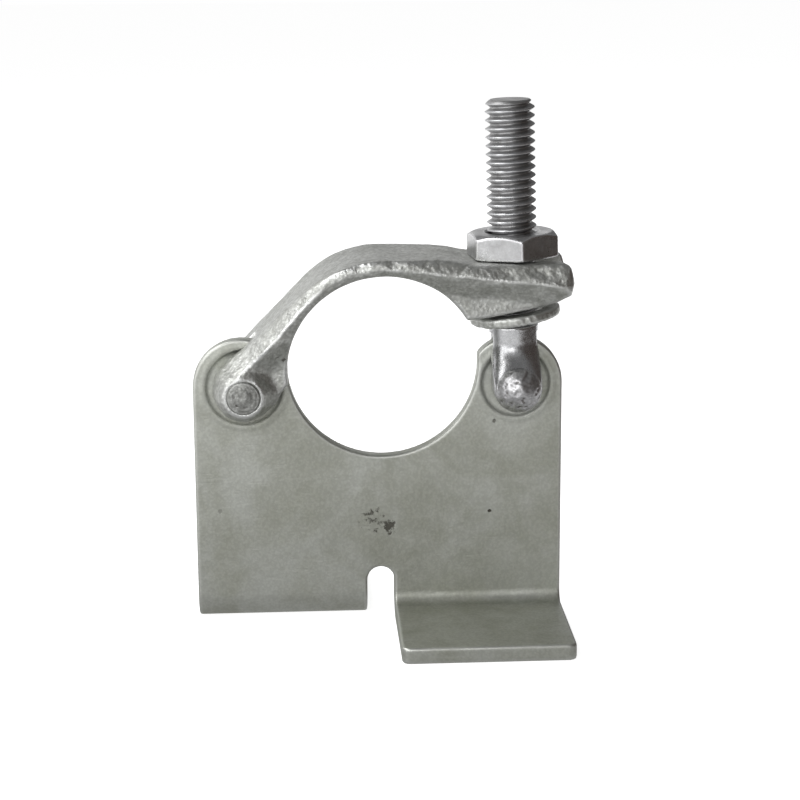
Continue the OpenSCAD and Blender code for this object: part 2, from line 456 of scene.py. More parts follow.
class Effects:
    """Surface effects that the finishes share, each built once as a node group."""

    def __init__(self) -> None:
        """Builds every group."""
        self.spangle = self._spangle()
        self.wear_and_painted_light = self._edge_wear_highlight_and_shade()
        self.grain = self._grain()
        self.scratches = self._scratches()

    def _spangle(self) -> bpy.types.NodeTree:
        """Cloudy patches of zinc, from broad shading to fine speckle.

        Returns:
            The group.
        """
        board, way_in, way_out = new_group(
            "zinc_spangle", {"Vector": VECTOR, "Size": FLOAT}, {"Cloud": FLOAT, "Speckle": FLOAT}
        )
        broad = board.noise(way_in["Vector"], way_in["Size"], 4.0, 0.6, 0.6)
        fine_size = board.maths("MULTIPLY", way_in["Size"], 7.0)
        fine = board.noise(way_in["Vector"], fine_size, 3.0, 0.7)
        board.put(board.span(broad, 0.3, 0.7), way_out["Cloud"])
        board.put(board.span(fine, 0.34, 0.66), way_out["Speckle"])
        return board.tree

    def _edge_wear_highlight_and_shade(self) -> bpy.types.NodeTree:
        """Bright edges, partly rubbed plating and partly painted highlight, and painted shade in corners,
        from the stored bend of the surface.

        Returns:
            The group.
        """
        board, way_in, way_out = new_group(
            "edge_wear_highlight_and_shade", {"Vector": VECTOR, "Bend": FLOAT, "Reach": FLOAT}, {"EdgeWearAndHighlight": FLOAT, "CornerShade": FLOAT}
        )
        patchy = board.noise(way_in["Vector"], 420.0, 3.0, 0.6)
        reached = board.maths("MULTIPLY", way_in["Bend"], way_in["Reach"])
        pushed = board.maths("MULTIPLY_ADD", patchy, 0.3, reached)
        # Outer edges are lightened, partly as rubbed plating and partly as a painted highlight.
        board.put(board.span(pushed, 0.3, 0.72), way_out["EdgeWearAndHighlight"])
        # Painted shade: concave corners are darkened.
        hollow = board.maths("MULTIPLY", way_in["Bend"], -1.0)
        board.put(board.span(hollow, 0.14, 0.6), way_out["CornerShade"])
        return board.tree

    def _grain(self) -> bpy.types.NodeTree:
        """The pitted, pebbled skin of a hot forging or of thick plating.

        Returns:
            The group.
        """
        board, way_in, way_out = new_group(
            "forged_grain", {"Vector": VECTOR, "Size": FLOAT}, {"Height": FLOAT, "Pit": FLOAT}
        )
        pebble = board.noise(way_in["Vector"], way_in["Size"], 5.0, 0.62, 0.3)
        cells = board.add("ShaderNodeTexVoronoi", feature="SMOOTH_F1")
        board.put(way_in["Vector"], cells.inputs["Vector"])
        board.put(board.maths("MULTIPLY", way_in["Size"], 1.7), cells.inputs["Scale"])
        cells.inputs["Smoothness"].default_value = 0.7
        height = board.maths("MULTIPLY_ADD", cells.outputs["Distance"], -0.55, pebble)
        board.put(height, way_out["Height"])
        board.put(board.span(height, 0.42, 0.1), way_out["Pit"])
        return board.tree

    def _scratches(self) -> bpy.types.NodeTree:
        """Fine handling scratches along three slants.

        Returns:
            The group.
        """
        board, way_in, way_out = new_group("scratches", {"Vector": VECTOR, "Size": FLOAT}, {"Line": FLOAT})
        lines = []
        for slant, drift in ((0.6, 0.0), (-0.9, 3.0), (1.35, 7.0)):
            place = board.add("ShaderNodeMapping")
            board.put(way_in["Vector"], place.inputs["Vector"])
            place.inputs["Location"].default_value = (drift, drift, drift)
            place.inputs["Rotation"].default_value = (0.0, slant, 0.0)
            place.inputs["Scale"].default_value = (0.09, 0.6, 1.0)
            streak = board.noise(place.outputs["Vector"], way_in["Size"], 2.0, 0.5)
            lines.append(board.span(streak, 0.645, 0.7))
        both = board.maths("MAXIMUM", board.maths("MAXIMUM", lines[0], lines[1]), lines[2])
        board.put(both, way_out["Line"])
        return board.tree


@dataclass(frozen=True)
class Stain:
    """A patch of dull, pitted marks at a place on a surface.

    The radius is in millimetres. Near says how fully the middle of the patch is covered.
    """

    place: Point3
    radius: float
    amount: float = 1.0
    near: float = 0.52


@dataclass(frozen=True)
class ZincFinish:
    """A zinc-plated steel surface.

    The colours are linear; sizes are features for each metre, and heights are metres.
    """

    name: str
    light: Colour
    dark: Colour
    # Colour of speckle and scratches, and of outer edges lightened partly as rubbed plating and partly as a
    # painted highlight.
    edge: Colour
    # Colour of real pits and stains, and of the painted shade in concave corners.
    grime_and_painted_shade: Colour
    roughness: tuple[float, float]
    cloud_size: float
    grain_size: float
    grain_height: float
    wave_height: float = 0.0
    wave_size: float = 90.0
    speckle: float = 0.25
    scratch: float = 0.0
    edge_amount: float = 0.6
    edge_reach: float = 1.0
    pit_amount: float = 0.3
    metallic: float = 1.0
    scratch_depth: float = 0.00001
    stain_depth: float = 0.00012
    stains: tuple[Stain, ...] = ()

    def build(self, effects: Effects) -> bpy.types.Material:
        """Builds the material.

        Args:
            effects: The shared node groups.

        Returns:
            The material.
        """
        material = bpy.data.materials.new(self.name)
        material.use_nodes = True
        board = Board(material.node_tree)
        board.tree.nodes.clear()
        shader = board.add("ShaderNodeBsdfPrincipled")
        out = board.add("ShaderNodeOutputMaterial")
        board.tree.links.new(shader.outputs[0], out.inputs[0])
        where = board.add("ShaderNodeTexCoord").outputs["Object"]
        bend = board.add("ShaderNodeAttribute", attribute_name="bend").outputs["Fac"]
        spangle = self._use(board, effects.spangle, Vector=where, Size=self.cloud_size)
        wear_and_painted_light = self._use(board, effects.wear_and_painted_light, Vector=where, Bend=bend, Reach=self.edge_reach)
        grain = self._use(board, effects.grain, Vector=where, Size=self.grain_size)
        lines = self._use(board, effects.scratches, Vector=where, Size=700.0)

        colour = board.blend(spangle["Cloud"], (*self.dark, 1), (*self.light, 1))
        fleck = board.maths("MULTIPLY", spangle["Speckle"], self.speckle)
        colour = board.blend(fleck, colour, (*self.edge, 1))
        pits = board.maths("MULTIPLY", grain["Pit"], self.pit_amount)
        colour = board.blend(pits, colour, (*self.grime_and_painted_shade, 1))
        # Painted shade: concave corners are darkened towards the dark colour of pits and stains.
        corner = board.maths("MULTIPLY", wear_and_painted_light["CornerShade"], 0.7)
        colour = board.blend(corner, colour, (*self.grime_and_painted_shade, 1))
        # Outer edges are lightened, partly as rubbed plating and partly as a painted highlight.
        edge = board.maths("MULTIPLY", wear_and_painted_light["EdgeWearAndHighlight"], self.edge_amount)
        colour = board.blend(edge, colour, (*self.edge, 1))
        line = board.maths("MULTIPLY", lines["Line"], self.scratch)
        colour = board.blend(line, colour, (*self.edge, 1))
        mark = self._stains(board, where)
        if mark is not None:
            colour = board.blend(mark, colour, (*self.grime_and_painted_shade, 1))
        board.put(colour, shader.inputs["Base Color"])

        low, high = self.roughness
        rough = board.maths("MULTIPLY_ADD", spangle["Cloud"], low - high, high)
        rough = board.maths("MULTIPLY_ADD", spangle["Speckle"], 0.06, rough)
        rough = board.maths("MULTIPLY_ADD", pits, 0.25, rough)
        rough = board.maths("MULTIPLY_ADD", wear_and_painted_light["CornerShade"], 0.15, rough)
        rough = board.maths("MULTIPLY_ADD", edge, -0.1, rough, clamp=True)
        board.put(rough, shader.inputs["Roughness"])
        shader.inputs["Metallic"].default_value = self.metallic

        height = board.maths("MULTIPLY", grain["Height"], self.grain_height)
        if self.wave_height:
            waves = board.noise(where, self.wave_size, 2.0, 0.5)
            height = board.maths("MULTIPLY_ADD", waves, self.wave_height, height)
        if self.scratch:
            height = board.maths("MULTIPLY_ADD", lines["Line"], -self.scratch_depth, height)
        if mark is not None:
            height = board.maths("MULTIPLY_ADD", mark, -self.stain_depth, height)
        bump = board.add("ShaderNodeBump")
        bump.inputs["Strength"].default_value = 1.0
        bump.inputs["Distance"].default_value = 1.0
        board.put(height, bump.inputs["Height"])
        board.put(bump.outputs["Normal"], shader.inputs["Normal"])
        return material

    def _stains(self, board: Board, where: bpy.types.NodeSocket) -> bpy.types.NodeSocket | None:
        """A mask of the marks on the surface.

        Args:
            board: The material's board.
            where: Object coordinates.

        Returns:
            The mask, or nothing where the finish has no marks.
        """
        total = None
        if not self.stains:
            return None
        speck = board.noise(where, 640.0, 4.0, 0.72, 0.3)
        for stain in self.stains:
            gap = board.add("ShaderNodeVectorMath", operation="DISTANCE")
            board.put(where, gap.inputs[0])
            gap.inputs[1].default_value = tuple(v * MM for v in stain.place)
            near = board.span(gap.outputs["Value"], stain.radius * MM, 0.0)
            torn = board.maths("MULTIPLY_ADD", near, stain.near, speck)
            mask = board.span(torn, 0.97, 1.09, 0.0, stain.amount)
            total = mask if total is None else board.maths("MAXIMUM", total, mask)
        return total

    @staticmethod
    def _use(board: Board, tree: bpy.types.NodeTree, **values: object) -> dict[str, bpy.types.NodeSocket]:
        """Places a shared group with its own values.

        Args:
            board: The material's board.
            tree: The group.
            values: What each input gets.

        Returns:
            The group's outputs by name.
        """
        node = board.add("ShaderNodeGroup", node_tree=tree)
        for name, value in values.items():
            board.put(value, node.inputs[name])
        return {socket.name: socket for socket in node.outputs}


# ---------------------------------------------------------------- the pieces


@dataclass
class Solid:
    """A piece that is meshed from its own distance field."""

    name: str
    node: str
    slot: Slot
    body: Body
    cell: float

    def shape(self, x: Array, y: Array, z: Array) -> Array:
        """Signed distance to the piece in its own axes, negative inside."""
        raise NotImplementedError

    def reach(self) -> tuple[Point3, Point3]:
        """Lowest and highest corner of the space that holds the piece, in its own axes."""
        raise NotImplementedError

    def placed(self, verts: Array) -> Array:
        """The vertices in the frame's axes, which a piece that bends or leans changes."""
        return verts

    def build(self, finish: bpy.types.Material) -> None:
        """Meshes, places and dresses the piece.

        Args:
            finish: Its material.
        """
        verts, quads = surface_nets(self.shape, *self.reach(), self.cell)
        verts = self.placed(verts)
        self.dress(verts, quads.tolist(), surface_bend(verts, quads), finish)

    def dress(self, verts: Array, faces: list[Face], bend: Array, finish: bpy.types.Material) -> None:
        """Makes the object at the origin, gives it its finish and its body, and hides the CAD part of its
        node.

        Args:
            verts: Vertices in millimetres, in the frame's axes.
            faces: Faces that point outwards.
            bend: How sharply the surface bends at each vertex, which lightens its edges as rubbed plating and
                painted highlight and darkens its corners as painted shade.
            finish: Its material.
        """
        mesh = bpy.data.meshes.new(self.name)
        mesh.from_pydata((verts * MM).tolist(), [], faces)
        mesh.shade_smooth()
        mesh.attributes.new("bend", "FLOAT", "POINT").data.foreach_set("value", bend.astype(np.float32))
        mesh.materials.append(finish)
        piece = bpy.data.objects.new(self.name, mesh)
        bpy.context.scene.collection.objects.link(piece)
        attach(piece, self.body.value)
        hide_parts(self.node)
        LOG.info("%s: %d triangles, on %s", self.name, sum(len(f) - 2 for f in faces), self.body.value)


@dataclass
class Plate(Solid):
    """The pressed plate: two ears round the tube seat, and two feet bent opposite ways."""

    seat_r: float = 24.2
    half_t: float = 2.06
    left: float = -48.2
    right: float = 45.8
    pivot_z: float = -5.6
    left_ear: Point2 = (-35.8, 12.4)
    right_ear: Point2 = (33.6, 12.2)
    hinge_x: float = -35.2
    bolt_x: float = 33.8
    hinge_hole: float = 4.06
    bolt_hole: float = 4.26
    coin_left: float = 9.6
    coin_right: float = 8.6
    coin_depth: float = 0.5
    lip: Point3 = (1.05, 0.5, 0.16)
    bend_top: float = -60.6
    bend_mid_r: float = 5.1
    foot_flat: float = 32.3
    corner_r: float = 2.0
    back_foot_right: float = -4.4
    front_foot_left: float = 2.6
    notch_r: float = 3.5
    notch_mid: Point2 = (-0.9, -57.5)
    edge_r: float = 0.6
    wave: float = 0.035

    def border(self) -> list[Point2]:
        """The plate's border before it is bent, with the tube seat still closed.

        Returns:
            Its points, in order.
        """
        low = self.bend_top - self.bend_mid_r * math.pi / 2 - self.foot_flat
        r = self.corner_r
        points = []
        for x0, x1 in ((self.left, self.back_foot_right), (self.front_foot_left, self.right)):
            if x0 == self.front_foot_left:
                points += arc(self.notch_mid, self.notch_r, 180, 0)
            points += arc((x0 + r, low + r), r, 180, 270, 8)
            points += arc((x1 - r, low + r), r, 270, 360, 8)
        for x, ear_r in (self.right_ear, self.left_ear):
            points += arc((x, self.pivot_z), ear_r, 0, 180, 40)
        return points

    def shape(self, x: Array, n: Array, s: Array) -> Array:
        """Distance to the flat blank.

        Args:
            x: Places across the plate.
            n: Places through its thickness.
            s: Places up the plate, along its surface.

        Returns:
            Signed distance.
        """
        side = trim(outline(x, s, self.border()), self.seat_r - np.hypot(x, s), 0.5)
        half = self.half_t
        lip_gap, lip_width, lip_height = self.lip
        for px, coin, hole in (
            (self.hinge_x, self.coin_left, self.hinge_hole),
            (self.bolt_x, self.coin_right, self.bolt_hole),
        ):
            q = np.hypot(x - px, s - self.pivot_z)
            half = half - self.coin_depth * ease(0.35, -0.35, q - coin)
            half = half + lip_height * np.exp(-(((q - coin - lip_gap) / lip_width) ** 2))
            side = trim(side, hole - q, 0.3)
        return trim(side, np.abs(n) - half, self.edge_r)

    def reach(self) -> tuple[Point3, Point3]:
        """The space that holds the flat blank."""
        return (self.left - 1, -3.5, self.bend_top - 42.0), (self.right + 1, 3.5, self.pivot_z + 14.0)

    def placed(self, verts: Array) -> Array:
        """Bends the flat blank: the left foot to the back, the right one to the front.

        Args:
            verts: Vertices of the flat blank.

        Returns:
            Vertices in the frame's axes.
        """
        x, n, s = verts.T
        n = n + lumps(x, 0.0, s, 34.0, 5) * self.wave * ease(-66.0, -54.0, s)
        way = np.where(x < self.notch_mid[0], 1.0, -1.0)
        below = np.maximum(self.bend_top - s, 0)
        angle = np.minimum(below / self.bend_mid_r, math.pi / 2)
        flat = np.maximum(below - self.bend_mid_r * math.pi / 2, 0)
        radius = self.bend_mid_r - way * n
        y = way * (self.bend_mid_r - radius * np.cos(angle) + flat)
        z = np.where(s > self.bend_top, s, self.bend_top - radius * np.sin(angle))
        return np.stack([x, y, z], axis=1)


@dataclass
class Flap(Solid):
    """The forged flap: hinge bosses, straight arm, arch over the tube, and the fork for the bolt."""

    seat_r: float = 24.2
    parting_r: float = 26.2
    arch_r: float = 28.3
    arm_angle: float = -45.0
    fork_angle: float = 6.5
    arm_reach: float = 25.5
    hinge: Point2 = (-35.2, -5.6)
    boss: tuple[Point2, ...] = ((2.0, 8.0), (5.0, 7.8), (9.0, 7.1), (12.0, 6.2), (13.8, 5.1))
    taper: Point2 = (1.7, 0.4)
    boss_face: float = 13.8
    slot_end: float = 33.0
    bolt_slot: float = 7.0
    ear_slot: float = 2.5
    ear_slot_r: float = 13.6
    hole_r: float = 4.06
    nose: Point2 = (42.9, 10.1)
    nose_r: float = 4.85
    edge_r: float = 1.1
    section: tuple[Point2, ...] = (
        (-14.0, 11.4), (-8.5, 11.2), (-6.4, 11.1), (-5.2, 11.3), (-0.6, 14.4),
        (0.4, 14.5), (2.4, 13.1), (4.4, 12.1), (8.0, 11.2),
    )

    def border(self) -> list[Point2]:
        """The flap's side view, filled in over the tube.

        Returns:
            Its points, in order.
        """
        crown = arc((0, 0), self.arch_r, 90 - self.arm_angle, 86, 30)
        step = self.arm_reach * math.sqrt(0.5)
        foot = (crown[0][0] - step, crown[0][1] - step)
        fork = [
            (13, 28.1), (17.2, 27.7), (20.2, 26.95), (22.6, 26.62), (44.4, 26.62),
            (46.5, 25.5), (47.75, 21.6), (46.6, 18.7), (43.6, 16.85), (36, 14.75),
            (31, 13.85), (25.4, 12.95), (20.2, 12.35), (14, 8),
        ]
        arm = [(-15, 5), (-24.2, -3.4), (-28, -8.5), self.hinge]
        return [foot, *crown, *fork, *arm]

    def height(self, x: Array, z: Array) -> Array:
        """Height above the parting line, which follows the arm, the arch and the fork.

        Args:
            x: Places along X.
            z: Places along Z.

        Returns:
            Height in millimetres.
        """
        bearing = np.degrees(np.arctan2(x, z))
        height = np.hypot(x, z)
        ends = ((self.arm_angle, bearing < self.arm_angle), (self.fork_angle, bearing > self.fork_angle))
        for angle, beyond in ends:
            a = math.radians(angle)
            height = np.where(beyond, x * math.sin(a) + z * math.cos(a), height)
        return height - self.parting_r

    def half_width(self, h: Array) -> Array:
        """Half width of the forging at a height above its parting line."""
        heights, widths = zip(*self.section)
        return sum(np.interp(h + d, heights, widths) for d in (-0.5, -0.17, 0.17, 0.5)) / 4

    def shape(self, x: Array, y: Array, z: Array) -> Array:
        """Distance to the flap.

        Args:
            x: Places along X.
            y: Places along Y.
            z: Places along Z.

        Returns:
            Signed distance.
        """
        across = np.abs(y)
        q = np.hypot(x - self.hinge[0], z - self.hinge[1])
        side = trim(outline(x, z, self.border()), self.seat_r - np.hypot(x, z), 0.5)
        down_arm = (-x - z) * math.sqrt(0.5)
        h = self.height(x, z) + 0.8 * ease(0.0, 16.0, down_arm)
        near_boss = ease(15.0, 8.0, q)
        wide = self.half_width(h + 0.3 * lumps(x, 0.0, z, 6.5, 21))
        over = np.maximum(h, 0)
        front, back = self.taper
        wide = wide - np.where(y < 0, front, back) * ease(-8.0, 12.0, down_arm) * over
        on_arch = ease(-3.0, -10.0, down_arm) * ease(14.0, 4.0, x)
        wide = wide + 0.45 * on_arch * np.minimum(over, 2.2) - 1.5 * near_boss
        rough = 0.07 * lumps(x, y, z, 2.2, 11) + 0.1 * lumps(x, y, z, 6.0, 12)
        flank = (across - wide) * 0.9 + rough * (0.15 + 0.85 * ease(-0.6, 0.8, h))
        flash = np.exp(-((h / 0.45) ** 2)) * (0.3 + 0.1 * lumps(x, 0.0, z, 3.5, 31)) * (1 - near_boss)
        body = trim(side, flank - flash, self.edge_r)
        past_nose = np.hypot(np.maximum(x - self.nose[0], 0), np.maximum(across - self.nose[1], 0))
        body = trim(body, past_nose - self.nose_r, 1.0)
        levels, radii = zip(*self.boss)
        boss = (q - np.interp(across, levels, radii)) * 0.9
        boss = trim(boss, across - self.boss_face, 0.7) + 0.8 * rough * ease(4.5, 6.0, q)
        body = weld(body, boss, 2.6)
        body = trim(body, -np.maximum(q - self.ear_slot_r, across - self.ear_slot), 0.4)
        body = np.maximum(body, self.hole_r - q)
        bolt = np.hypot(np.minimum(x - self.slot_end, 0), y) - self.bolt_slot
        return trim(body, -np.maximum(bolt, 5.0 - z), 0.8)

    def reach(self) -> tuple[Point3, Point3]:
        """The space that holds the flap."""
        return (-46, -16, -16), (49, 16, 30)


@dataclass
class BoltAxes:
    """The bolt's own axes, with Z along its thread and the origin on its pivot."""

    pivot: Point2
    lean: float

    @classmethod
    def from_frame(cls, joints: list[dict]) -> "BoltAxes":
        """Reads the pivot and the lean from the frame.

        Args:
            joints: The frame's joints.

        Returns:
            The axes.
        """
        by_name = {j["name"]: j for j in joints}
        at = by_name["bolt_swing"]["pos_m"]
        axis = by_name["nut_travel"]["axis"]
        return cls((at[0] / MM, at[2] / MM), math.degrees(math.atan2(-axis[0], axis[2])))


@dataclass
class ThreadTree:
    """Geometry nodes that turn a grid into a threaded bar with a helix and a chamfered end."""

    radius: float = 6.25
    pitch: float = 2.117
    depth: float = 1.3
    bar_start: float = 14.6
    run_out: float = 14.4
    length: float = 71.8
    chamfer: float = 1.2
    rows: int = 350
    around: int = 80

    def tree(self, finish: bpy.types.Material) -> tuple[bpy.types.NodeTree, dict[str, float]]:
        """Builds the node tree.

        Args:
            finish: Material that the tree sets.

        Returns:
            The tree, and the value for each of its inputs by the input's identifier.
        """
        tree = bpy.data.node_groups.new("threaded_bar", "GeometryNodeTree")
        face = tree.interface
        face.new_socket("Geometry", in_out="OUTPUT", socket_type="NodeSocketGeometry")
        values = {}
        for name, value in (
            ("Radius", self.radius), ("Pitch", self.pitch), ("Depth", self.depth),
            ("Bar Start", self.bar_start), ("Run Out", self.run_out), ("Length", self.length),
            ("Chamfer", self.chamfer), ("Rows", self.rows), ("Around", self.around + 1),
        ):
            kind = "NodeSocketInt" if isinstance(value, int) else FLOAT
            values[face.new_socket(name, in_out="INPUT", socket_type=kind).identifier] = value
        board = Board(tree)
        way_in = board.add("NodeGroupInput").outputs
        grid = board.add("GeometryNodeMeshGrid")
        board.put(way_in["Rows"], grid.inputs["Vertices X"])
        board.put(way_in["Around"], grid.inputs["Vertices Y"])
        grid.inputs["Size X"].default_value = 1.0
        grid.inputs["Size Y"].default_value = 1.0
        shape = board.add("GeometryNodeSetPosition")
        board.put(grid.outputs["Mesh"], shape.inputs["Geometry"])
        board.put(self._spot_on_bar(board, way_in), shape.inputs["Position"])
        closed = board.add("GeometryNodeMergeByDistance")
        board.put(shape.outputs[0], closed.inputs["Geometry"])
        closed.inputs["Distance"].default_value = 0.002
        real = board.add("GeometryNodeRealizeInstances")
        board.put(closed.outputs[0], real.inputs[0])
        dressed = board.add("GeometryNodeSetMaterial")
        board.put(real.outputs[0], dressed.inputs["Geometry"])
        dressed.inputs["Material"].default_value = finish
        board.put(dressed.outputs[0], board.add("NodeGroupOutput").inputs[0])
        return tree, values

    @staticmethod
    def _spot_on_bar(board: Board, way_in: bpy.types.NodeOutputs) -> bpy.types.NodeSocket:
        """Rolls the flat grid up: its X runs from cap to cap, and its Y once around the bar.

        Args:
            board: The tree's board.
            way_in: The tree's inputs.

        Returns:
            Where each of the grid's points goes.
        """
        m = board.maths
        spot = board.add("ShaderNodeSeparateXYZ")
        board.put(board.add("GeometryNodeInputPosition").outputs[0], spot.inputs[0])
        bar = m("SUBTRACT", way_in["Length"], way_in["Bar Start"])
        whole = m("ADD", bar, m("MULTIPLY", way_in["Radius"], 2.0))
        t = m("SUBTRACT", m("MULTIPLY", m("ADD", spot.outputs["X"], 0.5), whole), way_in["Radius"])
        along = m("MINIMUM", m("MAXIMUM", t, 0.0), bar)
        beyond = m("ABSOLUTE", m("SUBTRACT", t, along))
        s = m("ADD", along, way_in["Bar Start"])
        turn = m("ADD", spot.outputs["Y"], 0.5)
        phase = m("FRACT", m("SUBTRACT", m("DIVIDE", s, way_in["Pitch"]), turn))
        crest = m("ABSOLUTE", m("MULTIPLY_ADD", phase, 2.0, -1.0))
        groove = m("DIVIDE", m("SUBTRACT", 0.9, crest), 0.72, clamp=True)
        fade = m("MULTIPLY", way_in["Pitch"], 1.2)
        started = m("DIVIDE", m("SUBTRACT", s, way_in["Run Out"]), fade, clamp=True)
        cut = m("MULTIPLY", m("MULTIPLY", way_in["Depth"], groove), started)
        thread_r = m("SUBTRACT", way_in["Radius"], cut)
        tip_r = m("SUBTRACT", way_in["Radius"], way_in["Chamfer"])
        end_r = m("ADD", tip_r, m("SUBTRACT", way_in["Length"], s))
        shrink = m("SUBTRACT", 1.0, m("DIVIDE", beyond, way_in["Radius"]))
        r = m("MULTIPLY", m("MINIMUM", thread_r, end_r), m("MAXIMUM", shrink, 0.0))
        angle = m("MULTIPLY", turn, 2 * math.pi)
        place = board.add("ShaderNodeCombineXYZ")
        board.put(m("MULTIPLY", r, m("COSINE", angle)), place.inputs["X"])
        board.put(m("MULTIPLY", r, m("SINE", angle)), place.inputs["Y"])
        board.put(s, place.inputs["Z"])
        return place.outputs[0]

    def mesh(self, finish: bpy.types.Material) -> tuple[Array, list[Face]]:
        """Runs the nodes and reads the plain mesh back.

        Args:
            finish: Material that the tree sets.

        Returns:
            Vertices in millimetres in the bolt's axes, and faces that point outwards.
        """
        holder = bpy.data.objects.new("thread_maker", bpy.data.meshes.new("thread_maker"))
        bpy.context.scene.collection.objects.link(holder)
        modifier = holder.modifiers.new("thread", "NODES")
        modifier.node_group, values = self.tree(finish)
        for identifier, value in values.items():
            modifier[identifier] = value
        bpy.context.view_layer.update()
        graph = bpy.context.evaluated_depsgraph_get()
        baked = bpy.data.meshes.new_from_object(holder.evaluated_get(graph))
        holder.modifiers.clear()
        verts = np.array([v.co for v in baked.vertices], float)
        faces = [tuple(p.vertices)[::-1] for p in baked.polygons]
        bpy.data.objects.remove(holder)
        bpy.data.meshes.remove(baked)
        return verts, faces


@dataclass
class SwingBolt(Solid):
    """The swing bolt: a forged forked end that straddles the plate, and a threaded shank."""

    axes: BoltAxes
    eye: Point3 = (6.1, 10.6, 2.3)
    shank_r: float = 6.27
    flare: Point2 = (1.0, 10.8)
    slot_half: float = 2.5
    slot_r: float = 14.4
    top: float = 15.2
    hole_r: float = 4.26
    thread_from: float = 17.0
    # Bend given to the thread: crests lighten as rubbed plating and painted highlight, roots darken as
    # painted shade.
    crest_wear_highlight_root_shade: Point2 = (0.72, 0.38)

    def shape(self, u: Array, v: Array, s: Array) -> Array:
        """Distance to the forged end.

        Args:
            u: Places across the bolt.
            v: Places along the pivot.
            s: Places along the thread.

        Returns:
            Signed distance.
        """
        up = ease(*self.flare, s)
        eye_u, eye_v, eye_corner = self.eye
        half_u = eye_u + (self.shank_r - eye_u) * up
        half_v = eye_v + (self.shank_r - eye_v) * up
        corner = eye_corner + (self.shank_r - eye_corner) * up**0.7
        a = np.maximum(np.hypot(u, np.minimum(s, 0)) - (half_u - corner), 0)
        b = np.maximum(np.abs(v) - (half_v - corner), 0)
        body = np.hypot(a, b) - corner + 0.03 * lumps(u, v, s, 4.5, 41) * ease(14.0, 9.0, s)
        body = trim(body, s - self.top, 0.5)
        q = np.hypot(u, s)
        body = trim(body, -np.maximum(q - self.slot_r, np.abs(v) - self.slot_half), 0.4)
        return np.maximum(body, self.hole_r - q)

    def reach(self) -> tuple[Point3, Point3]:
        """The space that holds the forged end."""
        return (-8, -12, -8), (8, 12, 16.4)

    def build(self, finish: bpy.types.Material) -> None:
        """Meshes and dresses the forged end and the thread as one piece.

        Args:
            finish: Its material.
        """
        verts, quads = surface_nets(self.shape, *self.reach(), self.cell)
        thread, faces = ThreadTree().mesh(finish)
        # Crests get a positive bend, lightened as rubbed plating and painted highlight; roots get a negative
        # bend, darkened as painted shade.
        gain, low = self.crest_wear_highlight_root_shade
        wear_and_painted_light = ease(5.7, 6.2, np.hypot(thread[:, 0], thread[:, 1])) * gain - low
        wear_and_painted_light = np.where(thread[:, 2] < self.thread_from, 0.0, wear_and_painted_light)
        faces = quads.tolist() + [tuple(i + len(verts) for i in face) for face in faces]
        bend = np.concatenate([surface_bend(verts, quads), wear_and_painted_light])
        every = leaned(np.concatenate([verts, thread]), self.axes.pivot, self.axes.lean)
        self.dress(every, faces, bend, finish)


@dataclass
class Nut(Solid):
    """The hexagon nut, with its corners cut back by a cone at the top."""

    axes: BoltAxes
    across_flats: float = 21.0
    height: float = 6.2
    seat: float = 32.62
    turn: float = -23.4
    bore_r: float = 6.35
    cone: float = 30.0
    top_bevel: float = -0.35
    low_bevel: float = 1.1

    def shape(self, u: Array, v: Array, s: Array) -> Array:
        """Distance to the nut.

        Args:
            u: Places across the bolt.
            v: Places along the pivot.
            s: Places along the thread.

        Returns:
            Signed distance.
        """
        half = self.across_flats / 2
        flats = None
        for k in range(6):
            a = math.radians(self.turn + 30 + 60 * k)
            side = u * math.cos(a) + v * math.sin(a) - half
            flats = side if flats is None else trim(flats, side, 0.35)
        q = np.hypot(u, v)
        low, high = self.seat, self.seat + self.height
        c, d = math.cos(math.radians(self.cone)), math.sin(math.radians(self.cone))
        top_cone = (s - high) * c + (q - half - self.top_bevel) * d
        low_cone = (low - s) * c + (q - half - self.low_bevel) * d
        body = trim(trim(flats, top_cone, 0.25), low_cone, 0.2)
        body = trim(body, np.abs(s - (low + high) / 2) - self.height / 2, 0.25)
        mouth = (self.bore_r + 0.6 - q - (high - s)) * math.sqrt(0.5)
        return trim(trim(body, self.bore_r - q, 0.2), mouth, 0.1)

    def reach(self) -> tuple[Point3, Point3]:
        """The space that holds the nut."""
        return (-13, -13, self.seat - 0.8), (13, 13, self.seat + self.height + 0.8)

    def placed(self, verts: Array) -> Array:
        """The nut, leaning with the bolt."""
        return leaned(verts, self.axes.pivot, self.axes.lean)


@dataclass
class Washer(Solid):
    """The loose washer, which hangs at a tilt on the shank."""

    centre: Point2 = (33.82, 12.0)
    outer_r: float = 11.6
    hole_r: float = 7.1
    half_t: float = 1.28
    tilt: float = 7.8
    edge_r: float = 0.8

    def shape(self, u: Array, v: Array, w: Array) -> Array:
        """Distance to the washer, lying flat.

        Args:
            u: Places across the washer.
            v: Places along Y.
            w: Places through its thickness.

        Returns:
            Signed distance.
        """
        q = np.hypot(u, v)
        ragged = 0.12 * (1 + lumps(u, v, 0.0, 5.0, 51)) + 0.05 * lumps(u, v, w, 1.8, 52)
        face = np.abs(w) - self.half_t + 0.05 * (1 + lumps(u, v, 0.0, 4.0, 53))
        return trim(trim(q - self.outer_r + ragged, self.hole_r - q, 0.3), face, self.edge_r)

    def reach(self) -> tuple[Point3, Point3]:
        """The space that holds the washer."""
        return (-12.6, -12.6, -2), (12.6, 12.6, 2)

    def placed(self, verts: Array) -> Array:
        """The washer, tilted on the shank."""
        return leaned(verts, self.centre, self.tilt)


